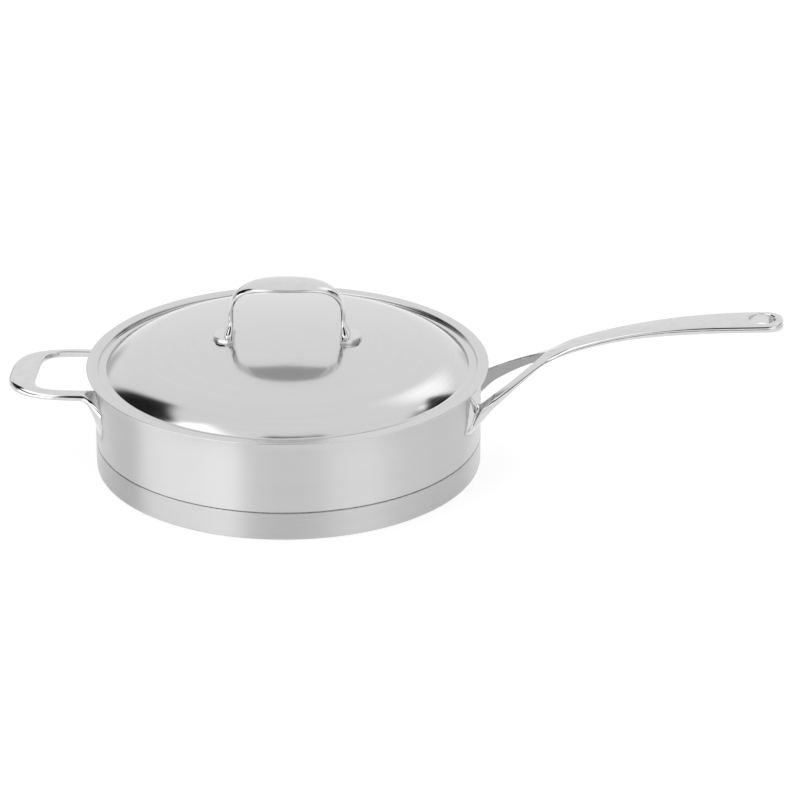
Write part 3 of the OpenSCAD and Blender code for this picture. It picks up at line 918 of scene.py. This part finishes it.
pan_metal = satin_sheet("pan_satin_steel", 0.36, 0.42, grey(0.69), grey(0.715), 1.0)
capsule_metal = satin_sheet("capsule_satin_steel", 0.4, 0.46, grey(0.66), grey(0.7), 1.0)
lid_metal = mirror_sheet("lid_bright_steel", grey(0.60), grey(0.64), 0.1, 0.15)
cast_metal = polished_casting("polished_cast_steel", grey(0.63), grey(0.67), 0.05, 0.09)
seam_metal = plain_metal("seam_weld_steel", grey(0.15), grey(0.25), 0.25, 900)
weld_metal = plain_metal("weld_bead_steel", grey(0.42), grey(0.58), 0.3, 700)
copper_metal = plain_metal("core_copper", (0.62, 0.33, 0.22), (0.72, 0.42, 0.3), 0.35, 300)
foil_metal = plain_metal("bonding_foil_steel", grey(0.56), grey(0.64), 0.3, 300)
ply_metal = plain_metal("magnetic_ply_steel", grey(0.42), grey(0.5), 0.38, 300)


def give(obj, material):
    if not obj.data.materials:
        obj.data.materials.append(material)
    for k in range(len(obj.data.materials)):
        obj.data.materials[k] = material


for obj, material in ((pan_shell, pan_metal), (capsule, capsule_metal), (seam, seam_metal),
                      (lid_shell, lid_metal), (long_handle, cast_metal),
                      (helper_handle, cast_metal), (lid_handle, cast_metal)):
    give(obj, material)
for name, material in (("core_disc", copper_metal), ("core_foil_upper", foil_metal),
                       ("core_foil_lower", foil_metal), ("induction_ply_upper", ply_metal),
                       ("induction_ply_middle", ply_metal),
                       ("long_handle_weld_front", weld_metal),
                       ("long_handle_weld_rear", weld_metal), ("helper_weld_front", weld_metal),
                       ("helper_weld_rear", weld_metal), ("lid_handle_weld_left", weld_metal),
                       ("lid_handle_weld_right", weld_metal)):
    give(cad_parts[name], material)


# Studio

world = bpy.data.worlds.new("studio")
bpy.context.scene.world = world
world.use_nodes = True
sky_tree = world.node_tree
background = next(n for n in sky_tree.nodes if n.type == "BACKGROUND")
sky = sky_tree.nodes.new("ShaderNodeTexCoord").outputs["Generated"]
sky_xyz = sky_tree.nodes.new("ShaderNodeSeparateXYZ")
sky_tree.links.new(sky, sky_xyz.inputs[0])
# Azimuth 0 is behind the pan, 90 is on its long handle's side and 180 towards the camera
azimuth = math_node(sky_tree, "DEGREES", math_node(sky_tree, "ARCTAN2", *sky_xyz.outputs[:2]))
elevation = math_node(sky_tree, "DEGREES", math_node(sky_tree, "ARCSINE", sky_xyz.outputs[2]))


def panel(left, right, low, high, soft):
    """1 on a panel of the sky between two azimuths and two elevations, with soft edges, in degrees."""
    off = math_node(sky_tree, "SUBTRACT", azimuth, (left + right) / 2)
    off = math_node(sky_tree, "ABSOLUTE", math_node(sky_tree, "WRAP", off, 180.0, -180.0))
    half = (right - left) / 2
    across = map_range(sky_tree, off, half - soft, half + soft, 1, 0, True)
    rise = map_range(sky_tree, elevation, low - soft, low + soft, 0, 1, True)
    fall = map_range(sky_tree, elevation, high - soft, high + soft, 1, 0, True)
    return math_node(sky_tree, "MULTIPLY", across, math_node(sky_tree, "MULTIPLY", rise, fall))


# Dark and bright panels round the pan: what each one takes from the studio's level or adds to it
studio_level = 1.0
darkest = 0.012
patches = [
    # Beside the helper handle
    (panel(-84, -46, 14, 51, 3), -1.0),
    (panel(-160, -82, 38, 65, 4), 0.8),
    (panel(-135, -80, 20, 34, 3), -1.0),
    # Beside the long handle
    (panel(22, 44, 28, 50, 8), 0.5),
    (panel(44, 60, 12, 41, 1.5), -1.4),
    (panel(53, 59, 40, 44, 1.5), 0.7),
    (panel(60, 80, 26, 46, 3), -0.55),
    # Low down behind the pan
    (panel(-40, -22, -4, 9, 4), -0.4),
    (panel(15, 30, -4, 5, 3), -0.3),
    # Low down at either side of the camera, over the camera, and low down at the sides
    (panel(-157, -93, -4, 18, 4), 1.5),
    (panel(122, 152, -4, 38, 5), 0.35),
    (panel(158, 203, 32, 74, 5), -1.0),
    (panel(130, 208, 46, 73.5, 6), -0.9),
    (panel(62, 112, -4, 34, 6), -0.35),
    (panel(-88, -44, -4, 14, 4), -0.4),
]
level = studio_level
for mask, amount in patches:
    level = math_node(sky_tree, "ADD", level, math_node(sky_tree, "MULTIPLY", mask, amount))
level = math_node(sky_tree, "MAXIMUM", level, darkest)
sky_tree.links.new(level, background.inputs["Color"])
background.inputs["Strength"].default_value = 1.0

# Pale floor, just under the base: its half width in metres, its colour and its own glow
floor_half = 9
floor_colour = 0.4
floor_glow = 0.72
corners = [(-floor_half, -floor_half, 0), (floor_half, -floor_half, 0),
           (floor_half, floor_half, 0), (-floor_half, floor_half, 0)]
mesh = bpy.data.meshes.new("studio_floor")
mesh.from_pydata(corners, [], [(0, 1, 2, 3)])
floor = bpy.data.objects.new("studio_floor", mesh)
bpy.context.scene.collection.objects.link(floor)
floor.location.z = -0.0002
floor_material = bpy.data.materials.new("pale_floor")
floor_material.use_nodes = True
floor_tree = floor_material.node_tree
floor_tree.nodes.clear()
diffuse = floor_tree.nodes.new("ShaderNodeBsdfDiffuse")
diffuse.inputs["Color"].default_value = (floor_colour, floor_colour, floor_colour, 1)
glow = floor_tree.nodes.new("ShaderNodeEmission")
glow.inputs["Color"].default_value = (1, 1, 1, 1)
glow.inputs["Strength"].default_value = floor_glow
add = floor_tree.nodes.new("ShaderNodeAddShader")
out = floor_tree.nodes.new("ShaderNodeOutputMaterial")
floor_tree.links.new(diffuse.outputs[0], add.inputs[0])
floor_tree.links.new(glow.outputs[0], add.inputs[1])
floor_tree.links.new(add.outputs[0], out.inputs[0])
floor.data.materials.append(floor_material)

# Camera: focal length 4.5 times the frame's width, looking down at 23.8 degrees
camera_data = bpy.data.cameras.new("camera")
camera_data.lens = 162
camera_data.sensor_width = 36
camera_data.clip_end = 50
camera = bpy.data.objects.new("camera", camera_data)
bpy.context.scene.collection.objects.link(camera)
tilt, yaw, turn = radians(23.789), radians(1.943), radians(5)
forward = Vector((sin(yaw - turn) * cos(tilt), cos(yaw - turn) * cos(tilt), -sin(tilt)))
right = forward.cross(Vector((0, 0, 1))).normalized()
up = right.cross(forward)
basis = Matrix((right, up, -forward)).transposed().to_4x4()
camera.matrix_world = Matrix.Translation((0.21107, -2.41258, 1.1129)) @ basis
bpy.context.scene.camera = camera

bpy.context.scene.view_settings.view_transform = "Standard"
